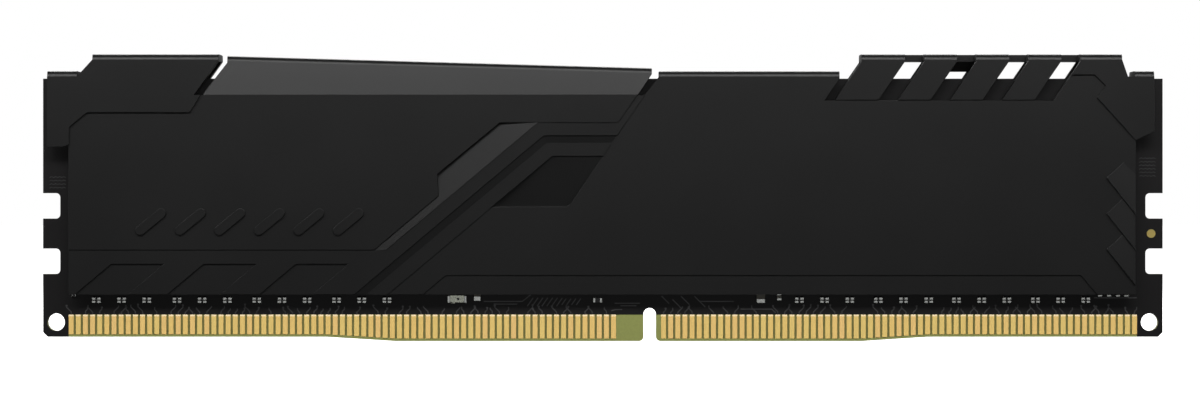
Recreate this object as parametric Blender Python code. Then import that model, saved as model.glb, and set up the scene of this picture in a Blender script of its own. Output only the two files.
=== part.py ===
"""A memory module: a printed board with edge contacts, its chips and small
components, and a two-piece black aluminium heat spreader around them.

Run with: blender --background --python part.py

The board stands on its contact edge. +X runs along the module, the front
half of the heat spreader faces -Y, and +Z is up. The origin is the middle of
the board's length and thickness, at the height of its contact edge. All sizes
below are in millimetres. A depth is a distance from the board's mid-plane,
taken towards -Y for the front half and towards +Y for the rear half.
"""

import math

import bmesh
import bpy
from mathutils import Matrix, Vector

MM = 0.001

FRONT = -1.0
REAR = 1.0

# Printed board
BOARD_LENGTH = 133.35
BOARD_HEIGHT = 31.25
BOARD_THICKNESS = 1.4
BOARD_END = BOARD_LENGTH / 2
BOARD_FACE = BOARD_THICKNESS / 2
CORNER_CHAMFER = 0.55
EDGE_RISE = 0.5
EDGE_SLOPES = ((-32.9, -24.7), (30.8, 38.7))
KEY_X = 5.575
KEY_WIDTH = 1.5
KEY_DEPTH = 3.93
KEY_MOUTH_RADIUS = 0.5
LATCH_NOTCH_HEIGHTS = (9.5, 16.1)
LATCH_NOTCH_DEPTH = 2.05
LATCH_NOTCH_SPAN = 3.03
LATCH_NOTCH_RADIUS = 0.5
CORNER_HOLE_X = 65.12
CORNER_HOLE_Z = 2.25
CORNER_HOLE_RADIUS = 1.04
FIDUCIAL_X = 65.3
FIDUCIAL_Z = 12.8
FIDUCIAL_RADIUS = 0.515

# Edge contacts: one comb per bank, joined along the top by its plating bar
CONTACT_PITCH = 0.85
CONTACT_WIDTH = 0.6
CONTACT_TOP = 3.15
CONTACT_EDGE_GAP = 0.3
PLATING_BAR_HEIGHT = 0.1
COPPER_GAP = 0.02
COPPER_THICKNESS = 0.05
CONTACT_BANKS = {"left": (-63.325, 77), "right": (7.225, 67)}

# Parts soldered to the front face
SOLDER_GAP = 0.03
DRAM_CENTRES_X = (-57.3, -47.7, -38.2, -28.7, 26.4, 35.8, 45.1, 54.5)
DRAM_CENTRE_Z = 17.2
DRAM_SIZE = (7.5, 11.0)
DRAM_THICKNESS = 1.1
PACKAGE_CHAMFER = 0.15
SPD_CENTRE = (-8.6, 10.4)
SPD_SIZE = (3.0, 2.0)
SPD_THICKNESS = 0.75

ARRAY_OFFSETS_X = (-3.0, 0.0, 3.0)
ARRAY_Z = 4.87
ARRAY_SIZE = (1.1, 0.7)
ARRAY_THICKNESS = 0.35
ARRAY_NOTCH = (0.26, 0.16)

# Small components: name -> (centre x, centre z, width, height, thickness)
CHIP_PARTS = {
    "input_capacitor": (-17.35, 5.03, 2.3, 1.0, 0.8),
    "filter_capacitor_left": (-14.95, 5.5, 0.85, 1.5, 0.75),
    "pull_up_resistor": (-0.62, 4.86, 1.14, 0.65, 0.35),
    "bulk_capacitor": (18.8, 5.45, 1.05, 1.9, 0.8),
    "filter_capacitor_right": (21.0, 5.3, 0.58, 1.0, 0.5),
}
DECOUPLING_X = (59.18, 60.25, 61.32, 62.33)
DECOUPLING_Z = 5.78
DECOUPLING_SIZE = (0.58, 1.05)
DECOUPLING_THICKNESS = 0.5
TEST_LINK = (-63.0, 5.75, 0.6, 1.0, 0.35)
CHIP_CHAMFER = 0.06

# Heat spreader: depths of its flat areas, all measured from the mid-plane
SPREADER_INSIDE = 2.15
WING_LEVEL = 3.6
LEFT_LEVEL = 3.28
BAND_LEVEL = 3.15
POCKET_LEVEL = 2.92
SEAM_LEVEL = 3.12
RIGHT_LEVEL = 3.0
RIGHT_WING_LEVEL = 3.25
RIB_LEVEL = 3.15
RECESS_LEVEL = 2.94
SKIRT_LEVEL = 2.84
PILL_LEVEL = 3.55
CUTTER_LEVEL = 4.2
ADDITION_BASE = SPREADER_INSIDE + 0.3

# Heat spreader: outline and bent-over top flanges
SPREADER_LEFT = -63.4
SPREADER_RIGHT = 63.24
SPREADER_BOTTOM = 5.58
LEFT_EAR_X = -65.9
LEFT_EAR_BOTTOM = 23.13
RIGHT_EAR_X = 65.42
RIGHT_EAR_BOTTOM = (23.92, 24.92)
HIGH_TOP = 34.1
LOW_TOP = 32.1
FACET_TOP = (33.92, 32.47)
BEND_RADIUS = 0.66
FLANGE_THICKNESS = 0.8
FLANGE_SEAM = 0.05
BEND_LEDGE = 0.03
BEND_SEGMENTS = 5
FILLET_SEGMENTS = 4
KEY_SEGMENTS = 12
CIRCLE_SEGMENTS = 24
HIGH_BEND = HIGH_TOP - BEND_RADIUS
LOW_BEND = LOW_TOP - BEND_RADIUS

# Heat spreader: where the flanges start and end along X
LOW_FLANGE_LEFT = (-65.88, -62.41)
WING_FLANGE = (-60.53, -45.57)
FACET_FLANGE = (-44.6, 5.82)
MIDDLE_FLANGE = (6.66, 28.09)
RIB_FLANGE = (30.68, 61.6)
RIB_LEVEL_CHANGE = (54.5, 55.7)
LOW_FLANGE_RIGHT = (63.09, 65.4)
RIB_GAP_REACH = 0.4
HIGH_TO_LOW_REACH = 0.7
LOW_TO_HIGH_TUCK = 0.05
TRIM = 0.2

# Heat spreader: limits that reach past its outline, for cuts that run off it
BELOW = SPREADER_BOTTOM - 1.0
ABOVE = HIGH_TOP + 2.0
PAST_LEFT = SPREADER_LEFT - 1.1
PAST_RIGHT = RIGHT_EAR_X + 1.5

# Heat spreader: the raised left wing, as points along its lower edge
WING_SIDE_X = SPREADER_LEFT + 0.1
WING_FOOT = ((PAST_LEFT, LEFT_EAR_BOTTOM - 0.2), (WING_SIDE_X, LEFT_EAR_BOTTOM + 0.3))
WING_EDGE = ((WING_SIDE_X, 25.45), (-61.18, 27.22), (-48.98, 27.22), (-47.77, 29.19))
WING_RIGHT_X = -45.05

# Heat spreader: pressed pattern
SLANT = math.tan(math.radians(40.0))
SLOT_FLOOR = 29.25
FACET_CREASE = 29.29
FACET_TILT = math.tan(math.radians(9.5))
BAND_TOP = 26.01
GROOVE_TOP = 24.45
GROOVE_BOTTOM = 23.55
LOWER_BAND_BOTTOM = 21.98
BAND_RIGHT_X = 3.2
BAND_RIGHT_Z = 21.0
BAND_LOW_X = -22.0
CREST_FOOT_X = -32.05
GROOVE_FOOT_X = -29.5
SECOND_BAND_FOOT_X = -28.05
RIGHT_PANEL_FOOT_X = -25.58
PANEL_TOP_LEFT = ((6.2, 31.8), (4.62, 29.6), (4.95, 29.2), (2.74, 26.06))
BAND_END = (1.73, GROOVE_TOP)
SECOND_BAND_END = ((1.0, GROOVE_BOTTOM), (0.0, LOWER_BAND_BOTTOM))
RIGHT_WING_EDGE = (
    (PAST_RIGHT, 22.0),
    (63.6, 23.52),
    (58.64, 28.93),
    (59.65, 30.37),
    (58.35, 31.66),
    (54.5, 31.66),
)
RIGHT_WING_SPLIT_X = 50.0
SEAM = ((1.72, 25.9), (4.15, 29.33), (5.3, 29.33), (3.0, 25.9))
GROOVE_FALL = 0.11
GROOVE_EDGE = 0.02
FACET_WIDE_FOOT_X = -36.6
FACET_NARROW_FOOT_X = -33.45
MID_FACET_FALL = 0.15
MID_FACET_LIP = 0.1
MID_FACET_BOTTOM = 10.8
MID_FACET_REACH = 0.6
MID_FACET_SHOULDER = ((-19.64, 19.86), (-19.49, 17.31))
LOWER_LEFT_TOP = 10.87
RECESS_BOTTOM = 16.0
RECESS_CORNERS = ((0.03, 22.04), (-3.75, 16.45), (-4.3, 16.0))
RECESS_UNDERCUT = 0.06
RECESS_FALL = 0.1
SKIRT_TOP = 7.86
SKIRT_SPAN = (-18.64, 56.72)
SKIRT_RIGHT_SLOPE = 0.85
POCKET_TOP = 9.2
POCKET_LEFT_X = -62.65
POCKET_WIDTH = 6.25
POCKET_PITCH = 10.955
POCKET_COUNT = 3
PILL_START = (-54.86, 13.19)
PILL_REACH = (2.49, 2.04)
PILL_RADIUS = 0.57
PILL_PITCH = 4.69
PILL_COUNT = 6
PILL_SEGMENTS = 6
SCALE_TOPS = (19.44, 15.2, 10.95)
SCALE_LEFT_X = 59.77
SCALE_RIGHT_X = 63.2
SCALE_INSET = 0.02
SCALE_RISE = (0.28, 0.06)
SCALE_SLOPE = 1.2536
SCALE_SIDE = 0.4
SCALE_TIP = (1.98, 1.81)
SCALE_TUCK = 0.5
SCALE_TUCK_RISE = 0.45
SCALE_SPAN = 2.8

# Heat spreader: ribs and slots at the upper right
RIB_BASE = 28.66
SLOT_BOTTOM = 28.62
SLOT_LEAN = 0.69
SLOT_BEND_Z = 33.25
SLOT_REFERENCE_Z = 31.18
FIRST_SLOT_X = 34.44
SLOT_WIDTH = 2.27
SLOT_PITCH = 6.17
SLOT_COUNT = 4
BRIDGED_SLOT = 1
BRIDGE_Z = 32.15
RIB_GAP = (28.09, 29.25)
RIB_BASE_ENDS = (26.9, 52.4)
RIB_PANEL_EDGE = ((28.6, 31.1), (28.6, ABOVE))
RIB_AREA = (
    (26.6, RIB_BASE - 0.7),
    (52.0, RIB_BASE - 0.7),
    (54.5, 31.6),
    (55.7, SLOT_BEND_Z),
    (55.7, ABOVE),
    (28.6, ABOVE),
    (28.6, 31.4),
)

# Heat spreader: slots on both sides of the upper facet
LEFT_SLOT_FOOT = ((-48.5, SLOT_FLOOR), (-47.53, SLOT_FLOOR))
LEFT_SLOT_TOPS = (33.1, 33.33)
MIDDLE_SLOT_FOOT = ((4.1, SLOT_FLOOR), (4.95, SLOT_FLOOR), (6.55, 31.3))
MIDDLE_SLOT_TOP = 31.78
FACET_AREA = (
    (-48.1, FACET_CREASE),
    (4.6, FACET_CREASE),
    (6.1, 31.6),
    (6.1, ABOVE),
    (-45.2, ABOVE),
    (-45.2, 33.1),
)

# Pads between the chips, the board and the heat spreader
PAD_GAP = 0.03
FRONT_PAD = (-62.0, 59.0, 12.0, 22.4)
REAR_PAD = (-62.0, 59.0, 9.0, 26.0)

COLOURS = {
    "solder_mask": ((0.012, 0.012, 0.013), 0.45, 0.0),
    "contact_gold": ((0.70, 0.47, 0.16), 0.3, 1.0),
    "chip_epoxy": ((0.02, 0.02, 0.022), 0.6, 0.0),
    "resistor_ceramic": ((0.3, 0.3, 0.3), 0.5, 0.0),
    "capacitor_ceramic": ((0.25, 0.22, 0.18), 0.5, 0.0),
    "spreader_black": ((0.021, 0.021, 0.021), 0.45, 0.0),
    "thermal_pad": ((0.16, 0.17, 0.19), 0.8, 0.0),
}


def clear_scene():
    """Remove whatever the start-up file holds."""
    for item in list(bpy.data.objects):
        bpy.data.objects.remove(item)


def material(name):
    """Return the named finish, made once."""
    found = bpy.data.materials.get(name)
    if found:
        return found
    colour, roughness, metallic = COLOURS[name]
    made = bpy.data.materials.new(name)
    made.use_nodes = True
    shader = made.node_tree.nodes["Principled BSDF"]
    shader.inputs["Base Color"].default_value = (*colour, 1.0)
    shader.inputs["Roughness"].default_value = roughness
    shader.inputs["Metallic"].default_value = metallic
    return made


def add_object(name, bm, finish=None):
    """Put a bmesh into the scene as a new object."""
    bmesh.ops.recalc_face_normals(bm, faces=bm.faces)
    mesh = bpy.data.meshes.new(name)
    bm.to_mesh(mesh)
    bm.free()
    item = bpy.data.objects.new(name, mesh)
    bpy.context.scene.collection.objects.link(item)
    if finish:
        mesh.materials.append(material(finish))
    return item


def prism(name, outline, depths, side, finish=None):
    """Make a solid from an (x, z) outline, between two depths.

    The outer depth may be a function of (x, z), for a sloping face.
    """
    inner, outer = depths
    bm = bmesh.new()
    start = [bm.verts.new((x * MM, side * inner * MM, z * MM)) for x, z in outline]
    face = bm.faces.new(start)
    made = bmesh.ops.extrude_face_region(bm, geom=[face])["geom"]
    for vertex in made:
        if isinstance(vertex, bmesh.types.BMVert):
            x, z = vertex.co.x / MM, vertex.co.z / MM
            depth = outer(x, z) if callable(outer) else outer
            vertex.co.y = side * depth * MM
    return add_object(name, bm, finish)


def combine(target, tool, operation):
    """Add a tool to the target or cut it out, and use the tool up."""
    modifier = target.modifiers.new("combine", "BOOLEAN")
    modifier.operation = operation
    modifier.solver = "EXACT"
    modifier.object = tool
    depsgraph = bpy.context.evaluated_depsgraph_get()
    result = bpy.data.meshes.new_from_object(target.evaluated_get(depsgraph))
    target.modifiers.clear()
    target.data = result
    bpy.data.objects.remove(tool)


def cut(target, outline, depths, side):
    """Cut an (x, z) outline out of the target between two depths."""
    combine(target, prism("cutter", outline, depths, side), "DIFFERENCE")


def join(target, outline, depths, side):
    """Add an (x, z) outline to the target between two depths."""
    combine(target, prism("addition", outline, depths, side), "UNION")


def arc(centre, radius, start, end, segments):
    """Points on an arc, with its angles in degrees from +X towards +Z."""
    points = []
    for step in range(segments + 1):
        angle = math.radians(start + (end - start) * step / segments)
        x = centre[0] + radius * math.cos(angle)
        z = centre[1] + radius * math.sin(angle)
        points.append((x, z))
    return points


def circle(centre, radius):
    """Points round a full circle, none of them twice."""
    return arc(centre, radius, 0, 360, CIRCLE_SEGMENTS)[:-1]


def along_slant(foot_x, z):
    """Point at height z on a slanted line that meets the bottom at foot_x."""
    return (foot_x + (z - SPREADER_BOTTOM) / SLANT, z)


# ---------------------------------------------------------------- the board


def edge_height(x):
    """Height of the board's contact edge at x."""
    (left_start, left_end), (right_start, right_end) = EDGE_SLOPES
    if x < left_end:
        part = (left_end - x) / (left_end - left_start)
    else:
        part = (x - right_start) / (right_end - right_start)
    return EDGE_RISE * min(1.0, max(0.0, part))


def latch_notch(z):
    """Outline of the notch at height z in the board's right end, going up."""
    low = z - LATCH_NOTCH_SPAN / 2
    high = z + LATCH_NOTCH_SPAN / 2
    radius = LATCH_NOTCH_RADIUS
    x = BOARD_END - LATCH_NOTCH_DEPTH + radius
    points = [(BOARD_END, low)]
    points += arc((x, low + radius), radius, 270, 180, FILLET_SEGMENTS)
    points += arc((x, high - radius), radius, 180, 90, FILLET_SEGMENTS)
    points.append((BOARD_END, high))
    return points


def board_end_outline():
    """Right end of the board from its bottom corner to its top corner."""
    points = [(BOARD_END - CORNER_CHAMFER, EDGE_RISE)]
    points.append((BOARD_END, EDGE_RISE + CORNER_CHAMFER))
    for z in LATCH_NOTCH_HEIGHTS:
        points += latch_notch(z)
    points.append((BOARD_END, BOARD_HEIGHT))
    return points


def key_outline():
    """The key notch in the contact edge, from left to right."""
    half = KEY_WIDTH / 2
    mouth = KEY_MOUTH_RADIUS
    crown = KEY_DEPTH - half
    points = arc((KEY_X - half - mouth, mouth), mouth, 270, 360, FILLET_SEGMENTS)
    points += arc((KEY_X, crown), half, 180, 0, KEY_SEGMENTS)
    points += arc((KEY_X + half + mouth, mouth), mouth, 180, 270, FILLET_SEGMENTS)
    return points


def make_board():
    """The printed board with its key, latch notches and corner holes."""
    right = board_end_outline()
    left = [(-x, z) for x, z in reversed(right)]
    (left_start, left_end), (right_start, right_end) = EDGE_SLOPES
    bottom = [(left_start, EDGE_RISE), (left_end, 0.0)]
    bottom += key_outline()
    bottom += [(right_start, 0.0), (right_end, EDGE_RISE)]
    board = prism(
        "pcb", left + bottom + right, (-BOARD_FACE, BOARD_FACE), FRONT, "solder_mask"
    )
    through = (-BOARD_THICKNESS, BOARD_THICKNESS)
    for x in (-CORNER_HOLE_X, CORNER_HOLE_X):
        hole = circle((x, CORNER_HOLE_Z), CORNER_HOLE_RADIUS)
        cut(board, hole, through, FRONT)


def make_contacts(side, bank, label):
    """One bank of edge contacts on one face, as a comb."""
    first_x, count = CONTACT_BANKS[bank]
    half = CONTACT_WIDTH / 2
    bar_bottom = CONTACT_TOP
    bar_top = CONTACT_TOP + PLATING_BAR_HEIGHT
    outline = []
    for index in range(count):
        x = first_x + index * CONTACT_PITCH
        foot = edge_height(x) + CONTACT_EDGE_GAP
        outline.append((x - half, bar_bottom))
        outline.append((x - half, foot))
        outline.append((x + half, foot))
        outline.append((x + half, bar_bottom))
    last_x = first_x + (count - 1) * CONTACT_PITCH
    outline[0] = (first_x - half, bar_top)
    outline[-1] = (last_x + half, bar_top)
    back = BOARD_FACE + COPPER_GAP
    depths = (back, back + COPPER_THICKNESS)
    prism(f"contacts_{label}_{bank}", outline, depths, side, "contact_gold")


def make_fiducial():
    """The bare copper mark that the placement machine reads."""
    back = BOARD_FACE + COPPER_GAP
    outline = circle((FIDUCIAL_X, FIDUCIAL_Z), FIDUCIAL_RADIUS)
    depths = (back, back + COPPER_THICKNESS)
    prism("fiducial_mark", outline, depths, FRONT, "contact_gold")


# ----------------------------------------------------------- chips and parts


def chamfered_block(name, centre, size, thickness, chamfer, finish):
    """A package on the front face, chamfered along its outer edges."""
    bm = bmesh.new()
    bmesh.ops.create_cube(bm, size=1.0)
    width, height = size
    bmesh.ops.scale(bm, verts=bm.verts, vec=Vector((width, thickness, height)) * MM)
    depth = BOARD_FACE + SOLDER_GAP + thickness / 2
    place = Matrix.Translation(Vector((centre[0], -depth, centre[1])) * MM)
    bmesh.ops.transform(bm, matrix=place, verts=bm.verts)
    outer_y = min(vertex.co.y for vertex in bm.verts)
    rim = []
    for edge in bm.edges:
        if all(vertex.co.y <= outer_y for vertex in edge.verts):
            rim.append(edge)
    bmesh.ops.bevel(
        bm,
        geom=rim,
        offset=chamfer * MM,
        segments=1,
        profile=0.5,
        affect="EDGES",
        material=-1,
    )
    return add_object(name, bm, finish)


def make_dram():
    """The memory chips, four on each side of the key."""
    for number, x in enumerate(DRAM_CENTRES_X, start=1):
        chamfered_block(
            f"dram_{number}",
            (x, DRAM_CENTRE_Z),
            DRAM_SIZE,
            DRAM_THICKNESS,
            PACKAGE_CHAMFER,
            "chip_epoxy",
        )


def make_spd():
    """The small memory that holds the module's settings."""
    chamfered_block(
        "spd_chip", SPD_CENTRE, SPD_SIZE, SPD_THICKNESS, PACKAGE_CHAMFER, "chip_epoxy"
    )


def array_outline(x, z):
    """Resistor array seen from the front, notched between its terminals."""
    half_width, half_height = ARRAY_SIZE[0] / 2, ARRAY_SIZE[1] / 2
    half_notch, inset = ARRAY_NOTCH[0] / 2, ARRAY_NOTCH[1]
    corners = [
        (-half_width, -half_height),
        (-half_notch, -half_height),
        (-half_notch, -half_height + inset),
        (half_notch, -half_height + inset),
        (half_notch, -half_height),
        (half_width, -half_height),
    ]
    corners += [(-across, -up) for across, up in corners]
    return [(x + across, z + up) for across, up in corners]


def make_resistor_arrays():
    """Three resistor arrays under each memory chip."""
    back = BOARD_FACE + SOLDER_GAP
    depths = (back, back + ARRAY_THICKNESS)
    number = 0
    for chip_x in DRAM_CENTRES_X:
        for offset in ARRAY_OFFSETS_X:
            number += 1
            outline = array_outline(chip_x + offset, ARRAY_Z)
            name = f"resistor_array_{number:02d}"
            prism(name, outline, depths, FRONT, "resistor_ceramic")


def make_chip_part(name, spec, finish):
    """One small two-ended component."""
    x, z, width, height, thickness = spec
    chamfered_block(name, (x, z), (width, height), thickness, CHIP_CHAMFER, finish)


def make_small_components():
    """Capacitors and resistors along the lower edge of the front."""
    for name, spec in CHIP_PARTS.items():
        kind = "resistor" if "resistor" in name else "capacitor"
        make_chip_part(name, spec, f"{kind}_ceramic")
    width, height = DECOUPLING_SIZE
    for number, x in enumerate(DECOUPLING_X, start=1):
        spec = (x, DECOUPLING_Z, width, height, DECOUPLING_THICKNESS)
        make_chip_part(f"decoupling_capacitor_{number}", spec, "capacitor_ceramic")
    make_chip_part("test_link", TEST_LINK, "resistor_ceramic")


# -------------------------------------------------------- the heat spreader


def facet_bend(x):
    """Height at x where the upper facet starts to bend over."""
    start, end = FACET_FLANGE
    part = (x - start) / (end - start)
    top = FACET_TOP[0] + (FACET_TOP[1] - FACET_TOP[0]) * part
    return top - BEND_RADIUS


def facet_depth(_, z):
    """Depth of the upper facet's sloping face at height z."""
    return LEFT_LEVEL - (z - FACET_CREASE) * FACET_TILT


def spreader_outline():
    """The flat of the spreader up to where its flanges bend over."""
    wing_left, wing_right = WING_FLANGE
    facet_left, facet_right = FACET_FLANGE
    in_left_slot = (wing_right + facet_left) / 2
    in_gap = (facet_right + MIDDLE_FLANGE[0]) / 2
    in_rib_gap = MIDDLE_FLANGE[1] + RIB_GAP_REACH
    return [
        (SPREADER_LEFT, SPREADER_BOTTOM),
        (SPREADER_RIGHT, SPREADER_BOTTOM),
        (SPREADER_RIGHT, RIGHT_EAR_BOTTOM[0]),
        (RIGHT_EAR_X, RIGHT_EAR_BOTTOM[1]),
        (RIGHT_EAR_X, LOW_BEND),
        (RIB_FLANGE[1] + HIGH_TO_LOW_REACH, LOW_BEND),
        (RIB_FLANGE[1], HIGH_BEND),
        (RIB_FLANGE[0], HIGH_BEND),
        (in_rib_gap, HIGH_BEND),
        (in_rib_gap, LOW_BEND),
        (in_gap, LOW_BEND),
        (in_gap, facet_bend(facet_right)),
        (facet_right, facet_bend(facet_right)),
        (facet_left, facet_bend(facet_left)),
        (in_left_slot, facet_bend(facet_left)),
        (in_left_slot, HIGH_BEND),
        (wing_left, HIGH_BEND),
        (LOW_FLANGE_LEFT[1] + LOW_TO_HIGH_TUCK, LOW_BEND),
        (LEFT_EAR_X, LOW_BEND),
        (LEFT_EAR_X, LEFT_EAR_BOTTOM),
        (SPREADER_LEFT, LEFT_EAR_BOTTOM),
    ]


def left_panel_outline():
    """All of the plate except the raised left wing."""
    return [
        (PAST_LEFT, BELOW),
        *WING_FOOT,
        *WING_EDGE,
        (WING_RIGHT_X, HIGH_BEND),
        (WING_RIGHT_X, ABOVE),
        (PAST_RIGHT, ABOVE),
        (PAST_RIGHT, BELOW),
    ]


def band_outline():
    """The lower left area and the two slanted bands, one step down."""
    crest_x, _ = along_slant(CREST_FOOT_X, LOWER_LEFT_TOP)
    crest_top_x, _ = along_slant(CREST_FOOT_X, BAND_TOP)
    return [
        (PAST_LEFT, BELOW),
        (PAST_LEFT, LOWER_LEFT_TOP),
        (crest_x, LOWER_LEFT_TOP),
        (crest_top_x, BAND_TOP),
        (BAND_RIGHT_X, BAND_TOP),
        (BAND_RIGHT_X, BAND_RIGHT_Z),
        (BAND_LOW_X, BELOW),
    ]


def right_panel_outline():
    """The right panel, with the groove that runs on from it between the bands."""
    return [
        (PANEL_TOP_LEFT[0][0], ABOVE),
        *PANEL_TOP_LEFT,
        BAND_END,
        along_slant(GROOVE_FOOT_X, GROOVE_TOP),
        along_slant(GROOVE_FOOT_X, BELOW),
        along_slant(SECOND_BAND_FOOT_X, BELOW),
        along_slant(SECOND_BAND_FOOT_X, GROOVE_BOTTOM),
        *SECOND_BAND_END,
        along_slant(RIGHT_PANEL_FOOT_X, LOWER_BAND_BOTTOM),
        along_slant(RIGHT_PANEL_FOOT_X, BELOW),
        (PAST_RIGHT, BELOW),
        *RIGHT_WING_EDGE,
        (RIB_BASE_ENDS[1], RIB_BASE),
        (RIB_BASE_ENDS[0], RIB_BASE),
        *RIB_PANEL_EDGE,
    ]


def right_side_outline():
    """Everything to the right of the middle of the ribs."""
    left = RIGHT_WING_SPLIT_X
    return [(left, BELOW), (PAST_RIGHT, BELOW), (PAST_RIGHT, ABOVE), (left, ABOVE)]


def groove_outlines():
    """The level and the slanted stretch of the groove, split at its elbow."""
    top = GROOVE_TOP - GROOVE_EDGE
    bottom = GROOVE_BOTTOM + GROOVE_EDGE
    across = GROOVE_EDGE / math.sin(math.atan(SLANT))
    outer = along_slant(GROOVE_FOOT_X + across, top)
    inner = along_slant(SECOND_BAND_FOOT_X - across, bottom)
    (end_low_x, _), _ = SECOND_BAND_END
    end_high_x = BAND_END[0]
    level = [outer, inner, (end_low_x - across, bottom), (end_high_x - across, top)]
    low_outer = along_slant(GROOVE_FOOT_X + across, BELOW)
    low_inner = along_slant(SECOND_BAND_FOOT_X - across, BELOW)
    return level, [low_outer, low_inner, inner, outer]


def level_groove_depth(_, z):
    """The level stretch leans back towards its lower edge."""
    return RIGHT_LEVEL - GROOVE_EDGE - (GROOVE_TOP - z) * GROOVE_FALL


def slanted_groove_depth(x, z):
    """The slanted stretch leans back towards its lower right edge."""
    edge_x, _ = along_slant(GROOVE_FOOT_X, z)
    distance = (x - edge_x) * math.sin(math.atan(SLANT))
    return RIGHT_LEVEL - GROOVE_EDGE - distance * GROOVE_FALL


def mid_facet_outline():
    """The slanted facet beside the first band, from past its crest."""
    past_crest = CREST_FOOT_X + MID_FACET_REACH
    return [
        along_slant(past_crest, BAND_TOP),
        along_slant(FACET_WIDE_FOOT_X, BAND_TOP),
        *MID_FACET_SHOULDER,
        along_slant(FACET_NARROW_FOOT_X, MID_FACET_BOTTOM),
        along_slant(past_crest, MID_FACET_BOTTOM),
    ]


def mid_facet_depth(x, z):
    """The facet falls away to the upper left of its crest."""
    crest_x, _ = along_slant(CREST_FOOT_X, z)
    distance = (crest_x - x) * math.sin(math.atan(SLANT))
    return BAND_LEVEL + MID_FACET_LIP - distance * MID_FACET_FALL


def recess_outline():
    """The deep window-shaped recess under the second band."""
    foot_x = RIGHT_PANEL_FOOT_X - RECESS_UNDERCUT
    top = along_slant(foot_x, LOWER_BAND_BOTTOM + RECESS_UNDERCUT)
    return [top, *RECESS_CORNERS, along_slant(foot_x, RECESS_BOTTOM)]


def recess_depth(_, z):
    """The floor of the recess leans back towards its lower edge."""
    return RECESS_LEVEL - (LOWER_BAND_BOTTOM - z) * RECESS_FALL


def skirt_outline():
    """The shallow step along the bottom of the right panel."""
    fall = SKIRT_TOP - BELOW
    left, right = SKIRT_SPAN
    return [
        (left - fall / SLANT, BELOW),
        (left, SKIRT_TOP),
        (right, SKIRT_TOP),
        (right + fall * SKIRT_RIGHT_SLOPE, BELOW),
    ]


def pocket_outline(index):
    """One of the slanted pockets along the bottom left."""
    left = POCKET_LEFT_X + index * POCKET_PITCH
    low_x = left - (SPREADER_BOTTOM - BELOW) / SLANT
    high_x = left + (POCKET_TOP - SPREADER_BOTTOM) / SLANT
    return [
        (low_x, BELOW),
        (high_x, POCKET_TOP),
        (high_x + POCKET_WIDTH, POCKET_TOP),
        (low_x + POCKET_WIDTH, BELOW),
    ]


def pill_outline(index):
    """One of the slanted raised bars with round ends."""
    x = PILL_START[0] + index * PILL_PITCH
    z = PILL_START[1]
    lean = math.degrees(math.atan2(PILL_REACH[1], PILL_REACH[0]))
    far = (x + PILL_REACH[0], z + PILL_REACH[1])
    points = arc((x, z), PILL_RADIUS, lean + 90, lean + 270, PILL_SEGMENTS)
    points += arc(far, PILL_RADIUS, lean - 90, lean + 90, PILL_SEGMENTS)
    return points


def scale_outline(index):
    """One of the overlapping scales at the right edge.

    The lower ones tuck in under the one above.
    """
    z = SCALE_TOPS[index]
    right = SCALE_RIGHT_X - index * SCALE_INSET
    reach = right - SCALE_LEFT_X
    tuck, rise = (SCALE_TUCK, SCALE_TUCK_RISE) if index else (0.0, 0.0)
    tip_x, tip_z = SCALE_TIP
    return [
        (SCALE_LEFT_X, z),
        (right, z - reach * SCALE_SLOPE),
        (right, z + SCALE_SIDE + tuck),
        (SCALE_LEFT_X + tip_x + tuck, z + tip_z + rise),
    ]


def scale_depth(index):
    """A scale stands highest along its lower left edge."""
    corner = Vector((SCALE_LEFT_X, SCALE_TOPS[index]))
    across = Vector((SCALE_SLOPE, 1.0)).normalized()
    high, low = SCALE_RISE

    def depth(x, z):
        part = (Vector((x, z)) - corner).dot(across) / SCALE_SPAN
        return RIGHT_LEVEL + high + (low - high) * part

    return depth


def slot_outline(index, top):
    """One slot between two ribs, leaning with the ribs and upright on top."""
    left = FIRST_SLOT_X + index * SLOT_PITCH
    right = left + SLOT_WIDTH
    down = (SLOT_BOTTOM - SLOT_REFERENCE_Z) * SLOT_LEAN
    up = (min(top, SLOT_BEND_Z) - SLOT_REFERENCE_Z) * SLOT_LEAN
    points = [(left + down, SLOT_BOTTOM), (right + down, SLOT_BOTTOM)]
    points.append((right + up, min(top, SLOT_BEND_Z)))
    if top > SLOT_BEND_Z:
        points += [(right + up, top), (left + up, top)]
    points.append((left + up, min(top, SLOT_BEND_Z)))
    return points


def rib_gap_outline():
    """The notch between the middle flange and the first rib."""
    left, right = RIB_GAP
    down = (SLOT_BOTTOM - SLOT_REFERENCE_Z) * SLOT_LEAN
    return [
        (left + down, SLOT_BOTTOM),
        (right + down, SLOT_BOTTOM),
        (RIB_FLANGE[0], SLOT_BEND_Z),
        (RIB_FLANGE[0], ABOVE),
        (left, ABOVE),
        (left, SLOT_REFERENCE_Z),
    ]


def left_slot_outline():
    """The slot between the left wing and the upper facet."""
    return [
        *LEFT_SLOT_FOOT,
        (FACET_FLANGE[0], LEFT_SLOT_TOPS[0]),
        (FACET_FLANGE[0], ABOVE),
        (WING_FLANGE[1], ABOVE),
        (WING_FLANGE[1], LEFT_SLOT_TOPS[1]),
    ]


def middle_slot_outline():
    """The slot between the upper facet and the right panel."""
    return [
        *MIDDLE_SLOT_FOOT,
        (MIDDLE_FLANGE[0], LOW_BEND),
        (MIDDLE_FLANGE[0], ABOVE),
        (FACET_FLANGE[1], ABOVE),
        (FACET_FLANGE[1], MIDDLE_SLOT_TOP),
    ]


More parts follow.
